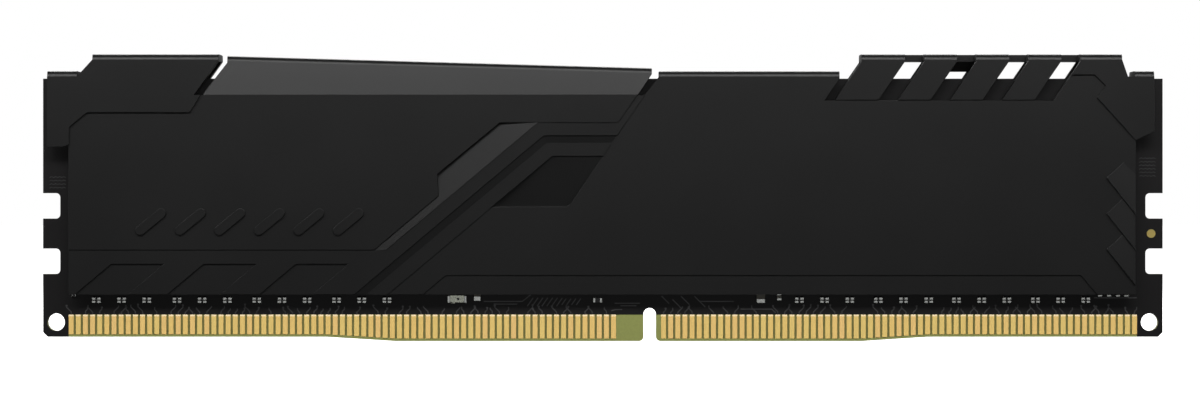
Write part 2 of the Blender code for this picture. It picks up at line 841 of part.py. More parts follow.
def bend_section(level, top):
    """Cross-section (depth, z) of a flange with its rounded outer corner."""
    outer = level - BEND_LEDGE
    underside = top - FLANGE_THICKNESS
    centre = (outer - BEND_RADIUS, top - BEND_RADIUS)
    points = [(FLANGE_SEAM, underside), (outer, underside)]
    points += arc(centre, BEND_RADIUS, 0, 90, BEND_SEGMENTS)
    points.append((FLANGE_SEAM, top))
    return points


def add_flange(target, side, stations):
    """Add a bent-over flange through stations of (x, level, top)."""
    bm = bmesh.new()
    rings = []
    for x, level, top in stations:
        section = bend_section(level, top)
        ring = [bm.verts.new((x * MM, side * d * MM, z * MM)) for d, z in section]
        rings.append(ring)
    count = len(rings[0])
    for near, far in zip(rings, rings[1:]):
        for index in range(count):
            after = (index + 1) % count
            bm.faces.new((near[index], near[after], far[after], far[index]))
    bm.faces.new(rings[0])
    bm.faces.new(rings[-1])
    combine(target, add_object("flange", bm), "UNION")


def cut_slope(target, outline, depth, side):
    """Cut an (x, z) outline down to a sloping floor."""
    cut(target, outline, (CUTTER_LEVEL, depth), side)


def press_pattern(plate, side):
    """Cut and raise the pattern that the spreader's face carries."""
    areas = (
        (left_panel_outline(), LEFT_LEVEL),
        (band_outline(), BAND_LEVEL),
        (SEAM, SEAM_LEVEL),
        (right_side_outline(), RIGHT_WING_LEVEL),
        (right_panel_outline(), RIGHT_LEVEL),
        (RIB_AREA, RIB_LEVEL),
    )
    for outline, level in areas:
        cut(plate, outline, (level, CUTTER_LEVEL), side)
    cut_slope(plate, recess_outline(), recess_depth, side)
    cut(plate, skirt_outline(), (SKIRT_LEVEL, CUTTER_LEVEL), side)
    for index in range(POCKET_COUNT):
        cut(plate, pocket_outline(index), (POCKET_LEVEL, CUTTER_LEVEL), side)
    level, slanted = groove_outlines()
    cut_slope(plate, level, level_groove_depth, side)
    cut_slope(plate, slanted, slanted_groove_depth, side)
    cut_slope(plate, FACET_AREA, facet_depth, side)
    cut_slope(plate, mid_facet_outline(), mid_facet_depth, side)
    for index in range(PILL_COUNT):
        join(plate, pill_outline(index), (ADDITION_BASE, PILL_LEVEL), side)
    for index in range(len(SCALE_TOPS)):
        join(plate, scale_outline(index), (ADDITION_BASE, scale_depth(index)), side)


def add_flanges(plate, side):
    """Bend over the flanges along the top, each at its own level.

    An end that a slot or a gap forms is left long, and is trimmed with it.
    """
    start, end = LOW_FLANGE_LEFT
    add_flange(plate, side, [(start, WING_LEVEL, LOW_TOP), (end, WING_LEVEL, LOW_TOP)])
    start, end = WING_FLANGE
    end += TRIM
    add_flange(plate, side, [(start, WING_LEVEL, HIGH_TOP), (end, WING_LEVEL, HIGH_TOP)])
    stations = []
    for x in (FACET_FLANGE[0] - TRIM, FACET_FLANGE[1] + TRIM):
        bend = facet_bend(x)
        stations.append((x, facet_depth(x, bend), bend + BEND_RADIUS))
    add_flange(plate, side, stations)
    start, end = MIDDLE_FLANGE[0] - TRIM, MIDDLE_FLANGE[1] + TRIM
    add_flange(plate, side, [(start, RIGHT_LEVEL, LOW_TOP), (end, RIGHT_LEVEL, LOW_TOP)])
    stations = [
        (RIB_FLANGE[0] - TRIM, RIB_LEVEL, HIGH_TOP),
        (RIB_LEVEL_CHANGE[0], RIB_LEVEL, HIGH_TOP),
        (RIB_LEVEL_CHANGE[1], RIGHT_WING_LEVEL, HIGH_TOP),
        (RIB_FLANGE[1], RIGHT_WING_LEVEL, HIGH_TOP),
    ]
    add_flange(plate, side, stations)
    stations = [(x, RIGHT_WING_LEVEL, LOW_TOP) for x in LOW_FLANGE_RIGHT]
    add_flange(plate, side, stations)


def make_spreader_half(name, side):
    """One pressed half of the heat spreader."""
    plate = prism(
        name, spreader_outline(), (SPREADER_INSIDE, WING_LEVEL), side, "spreader_black"
    )
    press_pattern(plate, side)
    through = (0.0, CUTTER_LEVEL)
    if side == REAR:
        underside = HIGH_TOP - FLANGE_THICKNESS + BEND_LEDGE
        for index in range(SLOT_COUNT):
            top = BRIDGE_Z if index == BRIDGED_SLOT else underside
            cut(plate, slot_outline(index, top), through, side)
    add_flanges(plate, side)
    if side == FRONT:
        for index in range(SLOT_COUNT):
            cut(plate, slot_outline(index, ABOVE), through, side)
    for outline in (left_slot_outline(), middle_slot_outline(), rib_gap_outline()):
        cut(plate, outline, through, side)


def make_pads():
    """The heat-conducting pads that fill the space under each half."""
    left, right, low, high = FRONT_PAD
    outline = [(left, low), (right, low), (right, high), (left, high)]
    chip_top = BOARD_FACE + SOLDER_GAP + DRAM_THICKNESS
    depths = (chip_top + PAD_GAP, SPREADER_INSIDE - PAD_GAP)
    prism("thermal_pad_front", outline, depths, FRONT, "thermal_pad")
    left, right, low, high = REAR_PAD
    outline = [(left, low), (right, low), (right, high), (left, high)]
    depths = (BOARD_FACE + PAD_GAP, SPREADER_INSIDE - PAD_GAP)
    prism("thermal_pad_rear", outline, depths, REAR, "thermal_pad")


def main():
    clear_scene()
    make_board()
    for side, label in ((FRONT, "front"), (REAR, "rear")):
        for bank in CONTACT_BANKS:
            make_contacts(side, bank, label)
    make_fiducial()
    make_dram()
    make_spd()
    make_resistor_arrays()
    make_small_components()
    make_pads()
    make_spreader_half("heat_spreader_front", FRONT)
    make_spreader_half("heat_spreader_rear", REAR)


main()
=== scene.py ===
"""Looks for a long memory module with a black pressed-aluminium heat spreader.

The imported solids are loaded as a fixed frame. The board, its contacts, its
small components and both halves of the heat spreader get their finished
shapes and surfaces here, in the same place and at the same size.

Lengths are in metres, and named values in millimetres are turned by MM.
+X runs along the module, the front half faces -Y and +Z is up.
"""

import math
import random

import bmesh
import bpy
from bpy.props import FloatProperty, FloatVectorProperty, IntProperty, PointerProperty
from mathutils import Matrix, Vector


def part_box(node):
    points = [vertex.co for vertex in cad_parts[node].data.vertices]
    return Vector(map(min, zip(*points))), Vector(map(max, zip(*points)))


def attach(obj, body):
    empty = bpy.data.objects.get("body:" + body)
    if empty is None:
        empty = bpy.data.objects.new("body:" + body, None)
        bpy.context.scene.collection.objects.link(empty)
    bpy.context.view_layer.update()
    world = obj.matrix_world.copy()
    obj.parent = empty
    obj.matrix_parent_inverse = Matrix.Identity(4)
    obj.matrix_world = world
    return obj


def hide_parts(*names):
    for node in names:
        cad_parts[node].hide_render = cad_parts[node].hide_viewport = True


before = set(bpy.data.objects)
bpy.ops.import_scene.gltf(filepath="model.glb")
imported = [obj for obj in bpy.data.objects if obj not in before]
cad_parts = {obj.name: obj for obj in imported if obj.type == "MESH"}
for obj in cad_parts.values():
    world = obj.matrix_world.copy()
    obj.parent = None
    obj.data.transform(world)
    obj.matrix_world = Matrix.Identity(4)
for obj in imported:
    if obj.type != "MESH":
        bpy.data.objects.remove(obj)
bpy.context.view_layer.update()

bl_info = {
    "name": "Memory module looks",
    "version": (1, 0, 0),
    "blender": (4, 5, 0),
    "location": "3D View > Sidebar > Memory module",
    "description": "Finishes a long memory module and its heat spreader",
    "category": "Object",
}

MM = 0.001
FRONT = -1
REAR = 1
SIDES = {"front": FRONT, "rear": REAR}
BANKS = ("left", "right")

BOARD_LOW, BOARD_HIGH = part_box("pcb")
BOARD_FACE = BOARD_HIGH.y
CONTACT_TOP = 3.15 * MM
# Thickness of the thin sheets that paint shade into the gaps between contacts
SHADED_GAP_DEPTH = 0.006 * MM
COPPER_SINK = 0.01 * MM
CONTACT_GAP = 0.3 * MM
EDGE_RISE = 0.5 * MM
LEFT_SLOPE_START = -24.7 * MM
LEFT_SLOPE_LENGTH = 8.2 * MM
RIGHT_SLOPE_START = 30.8 * MM
RIGHT_SLOPE_LENGTH = 7.9 * MM
TRACE_STEP = 0.001 * MM
TRACE_LEVELS = 4
WELD_DISTANCE = 0.0005 * MM
FLAT_ANGLE = math.radians(0.4)
SMOOTH_ANGLE = math.radians(35.0)
CREASE_ANGLE = math.radians(3.0)
FACETED_ANGLE = math.radians(1.0)
WIDE_FACE = 1.0 * MM
AREA_RULE = 3

# Which edges of the heat spreader are rounded; the first two count in radii
SHORT_EDGE = 6.0
NARROW_FACE = 3.0
ROUNDED_ANGLE = math.radians(28.0)
PRESSED_DEPTH = 2.5 * MM
FOLD_LIMIT = 0.0001 * MM * MM


def linear(hex_colour):
    """Turn an sRGB hex colour into linear red, green and blue."""
    channels = []
    for start in (0, 2, 4):
        value = int(hex_colour[start : start + 2], 16) / 255
        if value <= 0.04045:
            channels.append(value / 12.92)
        else:
            channels.append(((value + 0.055) / 1.055) ** 2.4)
    return tuple(channels)


def rgba(colour):
    """Add full opacity to a colour."""
    return (*colour, 1.0)


# ------------------------------------------------------------------ settings


class SpreaderSettings(bpy.types.PropertyGroup):
    """Sizes and colours of the heat spreader."""

    colour: FloatVectorProperty(
        name="Anodised colour",
        description="Black of the anodised aluminium",
        subtype="COLOR",
        default=linear("070707"),
        min=0.0,
        max=1.0,
    )
    edge_radius: FloatProperty(
        name="Edge radius",
        description="Rounding that pressing and tumbling leave on each edge",
        unit="LENGTH",
        subtype="DISTANCE",
        default=0.04 * MM,
    )
    grain: FloatProperty(
        name="Grain",
        description="Size of the blasted grain under the anodising",
        unit="LENGTH",
        subtype="DISTANCE",
        default=0.12 * MM,
    )
    roughness: FloatProperty(
        name="Roughness",
        description="Roughness of the matt finish",
        subtype="FACTOR",
        default=0.42,
        min=0.0,
        max=1.0,
    )


class BoardSettings(bpy.types.PropertyGroup):
    """Sizes and colours of the printed board."""

    mask_colour: FloatVectorProperty(
        name="Solder mask",
        description="Black solder mask",
        subtype="COLOR",
        default=linear("0E0E0F"),
        min=0.0,
        max=1.0,
    )
    laminate_colour: FloatVectorProperty(
        name="Laminate",
        description="Bare glass-fibre laminate between the contacts",
        subtype="COLOR",
        default=linear("A0A65C"),
        min=0.0,
        max=1.0,
    )
    bare_height: FloatProperty(
        name="Bare height",
        description="Height of the bare laminate above the contact edge",
        unit="LENGTH",
        subtype="DISTANCE",
        default=3.13 * MM,
    )
    bare_half_length: FloatProperty(
        name="Bare half length",
        description="How far the bare laminate reaches from the middle",
        unit="LENGTH",
        subtype="DISTANCE",
        default=63.62 * MM,
    )
    trace_width: FloatProperty(
        name="Trace width",
        description="Width of a copper trace under the mask",
        unit="LENGTH",
        subtype="DISTANCE",
        default=0.12 * MM,
    )
    trace_height: FloatProperty(
        name="Trace height",
        description="How far a trace lifts the mask",
        unit="LENGTH",
        subtype="DISTANCE",
        default=0.018 * MM,
    )
    seed: IntProperty(
        name="Routing seed",
        description="Seed of the short traces beside the contacts",
        default=7,
    )


class ContactSettings(bpy.types.PropertyGroup):
    """Sizes and colours of the edge contacts."""

    colour: FloatVectorProperty(
        name="Gold",
        description="Hard gold plating",
        subtype="COLOR",
        default=linear("E6C478"),
        min=0.0,
        max=1.0,
    )
    pitch: FloatProperty(
        name="Pitch",
        description="Distance from one contact to the next",
        unit="LENGTH",
        subtype="DISTANCE",
        default=0.85 * MM,
    )
    width: FloatProperty(
        name="Width",
        description="Width of a contact",
        unit="LENGTH",
        subtype="DISTANCE",
        default=0.6 * MM,
    )
    side_slope: FloatProperty(
        name="Side slope",
        description="How far etching undercuts each long side",
        unit="LENGTH",
        subtype="DISTANCE",
        default=0.012 * MM,
    )
    # Painted highlight: how far down from its upper end each contact is painted paler
    painted_highlight_end: FloatProperty(
        name="Pale end",
        description="Length of the paler plating at a contact's upper end",
        unit="LENGTH",
        subtype="DISTANCE",
        default=0.25 * MM,
    )


class ComponentSettings(bpy.types.PropertyGroup):
    """Sizes and colours of the soldered components."""

    tin_colour: FloatVectorProperty(
        name="Tin",
        description="Tinned terminals and their solder",
        subtype="COLOR",
        default=linear("B8BAB7"),
        min=0.0,
        max=1.0,
    )
    epoxy_colour: FloatVectorProperty(
        name="Moulded epoxy",
        description="Chip packages",
        subtype="COLOR",
        default=linear("1C1C1E"),
        min=0.0,
        max=1.0,
    )
    ceramic_colour: FloatVectorProperty(
        name="Capacitor ceramic",
        description="Fired body of a capacitor",
        subtype="COLOR",
        default=linear("A5A297"),
        min=0.0,
        max=1.0,
    )


class StageSettings(bpy.types.PropertyGroup):
    """The studio around the module."""

    camera_distance: FloatProperty(
        name="Camera distance",
        description="From the camera to the middle of the board",
        unit="LENGTH",
        subtype="DISTANCE",
        default=600.0 * MM,
    )
    frame_width: FloatProperty(
        name="Frame width",
        description="Width that the camera sees at the board",
        unit="LENGTH",
        subtype="DISTANCE",
        default=143.1 * MM,
    )
    key_power: FloatProperty(
        name="Key power",
        description="Power of the long soft box above the camera, in watts",
        default=0.46,
        min=0.0,
    )
    floor_colour: FloatVectorProperty(
        name="Floor",
        description="Pale studio floor",
        subtype="COLOR",
        default=linear("F4F4F4"),
        min=0.0,
        max=1.0,
    )


# Soft boxes: name, place, size, and power as a share of the key's
LAMPS = (
    ("key", (0.0, -0.13, 0.115), (0.5, 0.035), 1.0),
    ("front", (0.0, -0.62, -0.0135), (0.34, 0.03), 0.108),
    ("back", (0.0, 0.25, 0.22), (0.6, 0.12), 3.2),
)
FRONT_FILL = 0.012
SIDE_FILL = 0.3

SETTINGS = {
    "module_spreader": SpreaderSettings,
    "module_board": BoardSettings,
    "module_contacts": ContactSettings,
    "module_components": ComponentSettings,
    "module_stage": StageSettings,
}


# ------------------------------------------------------------------- finishes


def add_node(tree, kind, sockets=None, **settings):
    """Add a shader node with its settings, and fill or link its sockets."""
    node = tree.nodes.new(kind)
    for name, value in settings.items():
        setattr(node, name, value)
    for name, value in (sockets or {}).items():
        if isinstance(value, bpy.types.NodeSocket):
            tree.links.new(value, node.inputs[name])
        else:
            node.inputs[name].default_value = value
    return node


def start_finish(name):
    """Return the named finish, its node tree, shader and place on the object."""
    finish = bpy.data.materials.new(name)
    finish.use_nodes = True
    tree = finish.node_tree
    shader = tree.nodes["Principled BSDF"]
    place = add_node(tree, "ShaderNodeTexCoord").outputs["Object"]
    return finish, tree, shader, place


def noise_at(tree, place, size, detail=2.0):
    """Noise whose blotches have a real size in metres."""
    settings = {"Vector": place, "Scale": 1.0 / size, "Detail": detail}
    return add_node(tree, "ShaderNodeTexNoise", settings).outputs["Fac"]


def between(tree, factor, low, high):
    """Spread a factor from 0 to 1 between two values."""
    sockets = {"Value": factor, "To Min": low, "To Max": high}
    return add_node(tree, "ShaderNodeMapRange", sockets).outputs["Result"]


def blend_colours(tree, factor, first, second):
    """Mix two colours by a factor."""
    sockets = {0: factor, 6: first, 7: second}
    node = add_node(tree, "ShaderNodeMix", sockets, data_type="RGBA")
    return node.outputs[2]


def link(tree, value, shader, socket):
    """Lead a value into one of the shader's sockets."""
    tree.links.new(value, shader.inputs[socket])


def raise_surface(tree, shader, height, distance, strength=1.0):
    """Let a height from 0 to 1 lift the surface by a distance."""
    sockets = {"Height": height, "Distance": distance, "Strength": strength}
    link(tree, add_node(tree, "ShaderNodeBump", sockets).outputs["Normal"], shader, "Normal")


def shade(colour, factor):
    """A lighter or darker version of a colour, with full opacity."""
    return rgba(tuple(min(1.0, channel * factor) for channel in colour))


def black_anodised_aluminium(settings):
    """Pressed aluminium, blasted and anodised black.

    The dye gives an even near-black, and the blasted grain breaks the light
    into a soft sheen with no clear reflection.
    """
    finish, tree, shader, place = start_finish("black_anodised_aluminium")
    grain = noise_at(tree, place, settings.grain, 3.0)
    cloud = noise_at(tree, place, 9.0 * MM)
    low = shade(settings.colour, 0.88)
    high = shade(settings.colour, 1.14)
    link(tree, blend_colours(tree, grain, low, high), shader, "Base Color")
    rough = between(tree, cloud, settings.roughness - 0.03, settings.roughness + 0.03)
    link(tree, rough, shader, "Roughness")
    shader.inputs["IOR"].default_value = 1.5
    raise_surface(tree, shader, grain, 0.003 * MM, 0.35)
    return finish


def black_solder_mask(settings):
    """Epoxy solder mask printed over the laminate.

    It is a satin near-black whose colour drifts a little towards brown and
    purple, and the glass weave below it shows as a faint ripple.
    """
    finish, tree, shader, place = start_finish("black_solder_mask")
    drift = noise_at(tree, place, 4.0 * MM)
    brown = rgba(linear("131011"))
    link(tree, blend_colours(tree, drift, rgba(settings.mask_colour), brown), shader, "Base Color")
    weave = add_node(
        tree,
        "ShaderNodeTexVoronoi",
        {"Vector": place, "Scale": 1.0 / (0.45 * MM)},
        distance="CHEBYCHEV",
    ).outputs["Distance"]
    raise_surface(tree, shader, weave, 0.004 * MM, 0.3)
    shader.inputs["Roughness"].default_value = 0.36
    shader.inputs["IOR"].default_value = 1.5
    return finish


def mask_over_copper(_):
    """Thin solder mask over a copper trace: the copper glints dully through it."""
    finish, tree, shader, place = start_finish("mask_over_copper")
    drift = noise_at(tree, place, 1.5 * MM)
    colours = (rgba(linear("3E3E3F")), rgba(linear("727273")))
    link(tree, blend_colours(tree, drift, *colours), shader, "Base Color")
    shader.inputs["Metallic"].default_value = 0.6
    shader.inputs["Roughness"].default_value = 0.3
    shader.inputs["IOR"].default_value = 1.6
    return finish


def bare_laminate(settings):
    """Glass-fibre laminate with no mask: olive resin with a fine woven mottle."""
    finish, tree, shader, place = start_finish("bare_laminate")
    weave = noise_at(tree, place, 0.25 * MM, 1.0)
    low = shade(settings.laminate_colour, 0.86)
    high = shade(settings.laminate_colour, 1.08)
    link(tree, blend_colours(tree, weave, low, high), shader, "Base Color")
    raise_surface(tree, shader, weave, 0.004 * MM, 0.4)
    shader.inputs["Roughness"].default_value = 0.5
    shader.inputs["IOR"].default_value = 1.53
    return finish


def shaded_gap_laminate(_):
    """Laminate between two contacts: painted darker olive as painted shade for the narrow gaps,
    and rougher.
    """
    finish, tree, shader, place = start_finish("shaded_gap_laminate")
    weave = noise_at(tree, place, 0.2 * MM)
    low = rgba(linear("75733A"))
    high = rgba(linear("8A8646"))
    link(tree, blend_colours(tree, weave, low, high), shader, "Base Color")
    shader.inputs["Roughness"].default_value = 0.6
    return finish


def routed_laminate_edge(settings):
    """The board's cut edge: tan resin with the darker lines of its glass layers."""
    finish, tree, shader, place = start_finish("routed_laminate_edge")
    layers = add_node(
        tree,
        "ShaderNodeTexWave",
        {"Vector": place, "Scale": 1.0 / (1.1 * MM), "Distortion": 0.6, "Detail": 1.0},
        bands_direction="Y",
    ).outputs["Fac"]
    low = rgba(linear("4A3F28"))
    high = shade(settings.laminate_colour, 0.72)
    link(tree, blend_colours(tree, layers, low, high), shader, "Base Color")
    shader.inputs["Roughness"].default_value = 0.7
    return finish


def hard_gold_plating(settings):
    """Hard gold over nickel, brushed by the plating line.

    Each contact has its own slight tint, and fine streaks run along it. Its
    upper end is painted pale cream, a painted highlight for the light that a rounded top end
    catches.
    """
    finish, tree, shader, place = start_finish("hard_gold_plating")
    split = add_node(tree, "ShaderNodeSeparateXYZ", {0: place})
    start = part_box("contacts_front_left")[0].x - (settings.pitch - settings.width) / 2
    steps = add_node(
        tree,
        "ShaderNodeMath",
        {0: split.outputs["X"], 1: -start},
        operation="ADD",
    ).outputs[0]
    steps = add_node(
        tree, "ShaderNodeMath", {0: steps, 1: 1.0 / settings.pitch}, operation="MULTIPLY"
    ).outputs[0]
    number = add_node(tree, "ShaderNodeMath", {0: steps}, operation="FLOOR").outputs[0]
    chance = add_node(
        tree, "ShaderNodeTexWhiteNoise", {"W": number}, noise_dimensions="1D"
    ).outputs["Value"]
    tints = add_node(tree, "ShaderNodeValToRGB", {"Fac": chance})
    ramp = tints.color_ramp
    ramp.elements[0].position = 0.0
    ramp.elements[0].color = rgba(linear("E2C67A"))
    ramp.elements[1].position = 1.0
    ramp.elements[1].color = rgba(linear("E9C380"))
    middle = ramp.elements.new(0.5)
    middle.color = rgba(settings.colour)
    streaks = add_node(
        tree,
        "ShaderNodeMapping",
        {"Vector": place, "Scale": (1.0, 1.0, 0.04)},
    ).outputs["Vector"]
    streak = noise_at(tree, streaks, 0.05 * MM, 2.0)
    darker = add_node(
        tree,
        "ShaderNodeMix",
        {0: 1.0, 6: tints.outputs["Color"], 7: (0.95, 0.93, 0.88, 1.0)},
        data_type="RGBA",
        blend_type="MULTIPLY",
    ).outputs[2]
    plated = blend_colours(tree, streak, darker, tints.outputs["Color"])
    # Painted highlight: the colour turns pale cream towards each contact's upper end
    upper = add_node(
        tree,
        "ShaderNodeMapRange",
        {
            "Value": split.outputs["Z"],
            "From Min": CONTACT_TOP - settings.painted_highlight_end,
            "From Max": CONTACT_TOP - settings.painted_highlight_end / 2,
        },
    ).outputs["Result"]
    link(tree, blend_colours(tree, upper, plated, rgba(linear("FFE9BC"))), shader, "Base Color")
    link(tree, between(tree, streak, 0.11, 0.15), shader, "Roughness")
    raise_surface(tree, shader, streak, 0.002 * MM, 0.3)
    shader.inputs["Metallic"].default_value = 1.0
    return finish


def immersion_gold(_):
    """Immersion gold on the fiducial mark: greener and more matt than the contacts."""
    finish, tree, shader, place = start_finish("immersion_gold")
    grain = noise_at(tree, place, 0.1 * MM)
    colours = (rgba(linear("D2BA66")), rgba(linear("E6D080")))
    link(tree, blend_colours(tree, grain, *colours), shader, "Base Color")
    raise_surface(tree, shader, grain, 0.002 * MM, 0.3)
    shader.inputs["Metallic"].default_value = 0.4
    shader.inputs["Roughness"].default_value = 0.3
    return finish


def reflowed_tin(settings):
    """Tin solder that has melted and set: bright, with soft ripples."""
    finish, tree, shader, place = start_finish("reflowed_tin")
    ripple = noise_at(tree, place, 0.22 * MM)
    low = shade(settings.tin_colour, 0.8)
    link(tree, blend_colours(tree, ripple, low, rgba(settings.tin_colour)), shader, "Base Color")
    link(tree, between(tree, ripple, 0.14, 0.2), shader, "Roughness")
    raise_surface(tree, shader, ripple, 0.004 * MM, 0.3)
    shader.inputs["Metallic"].default_value = 1.0
    return finish


def fired_glaze(settings):
    """Black glass glaze over a thick-film resistor: smooth, with a clear glint."""
    finish, tree, shader, place = start_finish("fired_glaze")
    flow = noise_at(tree, place, 0.3 * MM)
    low = shade(settings.epoxy_colour, 0.6)
    link(tree, blend_colours(tree, flow, low, rgba(settings.epoxy_colour)), shader, "Base Color")
    raise_surface(tree, shader, flow, 0.006 * MM, 0.3)
    shader.inputs["Roughness"].default_value = 0.22
    return finish


def alumina_ceramic(_):
    """Fired alumina: off-white, dry and very fine-grained."""
    finish, tree, shader, place = start_finish("alumina_ceramic")
    grain = noise_at(tree, place, 0.05 * MM)
    colours = (rgba(linear("A9A79F")), rgba(linear("C2C0B8")))
    link(tree, blend_colours(tree, grain, *colours), shader, "Base Color")
    raise_surface(tree, shader, grain, 0.002 * MM, 0.4)
    shader.inputs["Roughness"].default_value = 0.65
    return finish


def capacitor_ceramic(settings):
    """Layered barium titanate: grey-brown, with a faint grain and a dull sheen."""
    finish, tree, shader, place = start_finish("capacitor_ceramic")
    grain = noise_at(tree, place, 0.09 * MM)
    low = shade(settings.ceramic_colour, 0.82)
    high = shade(settings.ceramic_colour, 1.12)
    link(tree, blend_colours(tree, grain, low, high), shader, "Base Color")
    raise_surface(tree, shader, grain, 0.003 * MM, 0.4)
    shader.inputs["Roughness"].default_value = 0.5
    return finish


def nickel_lid(_):
    """Matt nickel over a pressed lid: grey with a green cast and no clear shine."""
    finish, tree, shader, place = start_finish("nickel_lid")
    grain = noise_at(tree, place, 0.12 * MM)
    colours = (rgba(linear("A9AC9E")), rgba(linear("C6C9BB")))
    link(tree, blend_colours(tree, grain, *colours), shader, "Base Color")
    link(tree, between(tree, grain, 0.16, 0.22), shader, "Roughness")
    raise_surface(tree, shader, grain, 0.002 * MM, 0.3)
    shader.inputs["Metallic"].default_value = 0.85
    return finish


def moulded_epoxy(settings):
    """Transfer-moulded epoxy filled with silica: charcoal, with a sparkle-free matt."""
    finish, tree, shader, place = start_finish("moulded_epoxy")
    grain = noise_at(tree, place, 0.08 * MM, 3.0)
    low = shade(settings.epoxy_colour, 0.8)
    high = shade(settings.epoxy_colour, 1.3)
    link(tree, blend_colours(tree, grain, low, high), shader, "Base Color")
    raise_surface(tree, shader, grain, 0.006 * MM, 0.5)
    shader.inputs["Roughness"].default_value = 0.62
    return finish


def silicone_pad(_):
    """Filled silicone sheet: blue-grey, soft and slightly uneven."""
    finish, tree, shader, place = start_finish("silicone_pad")
    grain = noise_at(tree, place, 0.35 * MM, 3.0)
    colours = (rgba(linear("5C646C")), rgba(linear("727A82")))
    link(tree, blend_colours(tree, grain, *colours), shader, "Base Color")
    raise_surface(tree, shader, grain, 0.02 * MM, 0.5)
    shader.inputs["Roughness"].default_value = 0.8
    return finish


FINISH_MAKERS = {
    "module_spreader": (black_anodised_aluminium,),
    "module_board": (
        black_solder_mask,
        mask_over_copper,
        bare_laminate,
        shaded_gap_laminate,
        routed_laminate_edge,
    ),
    "module_contacts": (hard_gold_plating, immersion_gold),
    "module_components": (
        reflowed_tin,
        fired_glaze,
        alumina_ceramic,
        capacitor_ceramic,
        nickel_lid,
        moulded_epoxy,
        silicone_pad,
    ),
}


def make_finishes(scene):
    """Make every finish once, and return them by their maker's name."""
    finishes = {}
    for group, makers in FINISH_MAKERS.items():
        for maker in makers:
            finishes[maker.__name__] = maker(getattr(scene, group))
    return finishes


FINISHES = {}


# --------------------------------------------------------------- mesh helpers


def copy_of(node):
    """A CAD node's mesh with its loose triangles joined into whole faces."""
    bm = bmesh.new()
    bm.from_mesh(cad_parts[node].data)
    bmesh.ops.remove_doubles(bm, verts=bm.verts, dist=WELD_DISTANCE)
    bmesh.ops.dissolve_limit(
        bm, angle_limit=FLAT_ANGLE, verts=bm.verts, edges=bm.edges
    )
    return bm


def round_edges(bm, edges, radius, segments=2, clamped=True):
    """Round some of a bmesh's edges."""
    bmesh.ops.bevel(
        bm,
        geom=edges,
        offset=radius,
        segments=segments,
        profile=0.5,
        affect="EDGES",
        material=-1,
        clamp_overlap=clamped,
    )


def part_of(size, shares):
    """A size scaled by its own share along each axis."""
    return Vector([length * share for length, share in zip(size, shares)])


def add_block(bm, centre, size, radius=0.0, material=0, segments=2):
    """Add a block with rounded edges, and return its vertices."""
    made = bmesh.ops.create_cube(bm, size=1.0)["verts"]
    bmesh.ops.scale(bm, verts=made, vec=size)
    bmesh.ops.translate(bm, verts=made, vec=centre)
    faces = {face for vertex in made for face in vertex.link_faces}
    for face in faces:
        face.material_index = material
    if radius:
        edges = list({edge for vertex in made for edge in vertex.link_edges})
        before = set(bm.verts) - set(made)
        round_edges(bm, edges, radius, segments)
        made = [vertex for vertex in bm.verts if vertex not in before]
    return made


def width_of(face):
    """Width of a face that is taken for a long strip."""
    return 2 * face.calc_area() / max(face.calc_perimeter(), WELD_DISTANCE)


def mark_creases(bm, smooth_angle):
    """Smooth every face, but keep sharp edges and creases between wide faces."""
    bm.normal_update()
    for face in bm.faces:
        face.smooth = True
    for edge in bm.edges:
        if len(edge.link_faces) != 2:
            continue
        angle = edge.calc_face_angle(0.0)
        wide = min(width_of(face) for face in edge.link_faces) > WIDE_FACE
        edge.smooth = angle < (CREASE_ANGLE if wide else smooth_angle)


def smooth_fan(corner):
    """Faces round a face's corner that shade smoothly into that face."""
    fan = [corner.face]
    for face in fan:
        for edge in corner.vert.link_edges:
            if edge.smooth and face in edge.link_faces:
                fan += [other for other in edge.link_faces if other not in fan]
    return fan


def corner_normals(bm):
    """A normal for each corner of each face, ruled by the largest face there.

    Wide faces then shade flat, and the roundings between them take the bend.
    """
    areas = {face: face.calc_area() for face in bm.faces}
    normals = []
    for face in bm.faces:
        for corner in face.loops:
            fan = smooth_fan(corner)
            largest = max(areas[other] for other in fan)
            normal = Vector()
            for other in fan:
                normal += other.normal * (areas[other] / largest) ** AREA_RULE
            normals.append(normal.normalized())
    return normals


def finish_piece(name, bm, finishes, replaced=(), smooth_angle=SMOOTH_ANGLE):
    """Turn a bmesh into a finished piece that rides with the module."""
    mark_creases(bm, smooth_angle)
    normals = corner_normals(bm)
    mesh = bpy.data.meshes.new(name)
    bm.to_mesh(mesh)
    bm.free()
    mesh.normals_split_custom_set(normals)
    for finish in finishes:
        mesh.materials.append(FINISHES[finish])
    piece = bpy.data.objects.new(name, mesh)
    bpy.context.scene.collection.objects.link(piece)
    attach(piece, "root")
    if replaced:
        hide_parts(*replaced)


def refinish(node, finish):
    """Give a CAD node that keeps its shape a finish."""
    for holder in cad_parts[node].material_slots:
        holder.material = FINISHES[finish]


# ----------------------------------------------------------- the heat spreader


def pressed_edges(bm, radius):
    """Outward edges of the pressed face that have room for a rounding."""
    edges = []
    for edge in bm.edges:
        if not edge.is_convex or edge.calc_length() < SHORT_EDGE * radius:
            continue
        if edge.calc_face_angle() < ROUNDED_ANGLE:
            continue
        if min(width_of(face) for face in edge.link_faces) < NARROW_FACE * radius:
            continue
        if min(abs(vertex.co.y) for vertex in edge.verts) > PRESSED_DEPTH:
            edges.append(edge)
    return edges


def folded_faces(bm, numbers):
    """Numbers of the faces whose triangles fold back over each other."""
    folded = set()
    for loops in bm.calc_loop_triangles():
        face = loops[0].face
        first, second, third = (loop.vert.co for loop in loops)
        turned = (second - first).cross(third - first)
        if turned.dot(face.normal) < -FOLD_LIMIT:
            folded.add(face[numbers])
    return folded


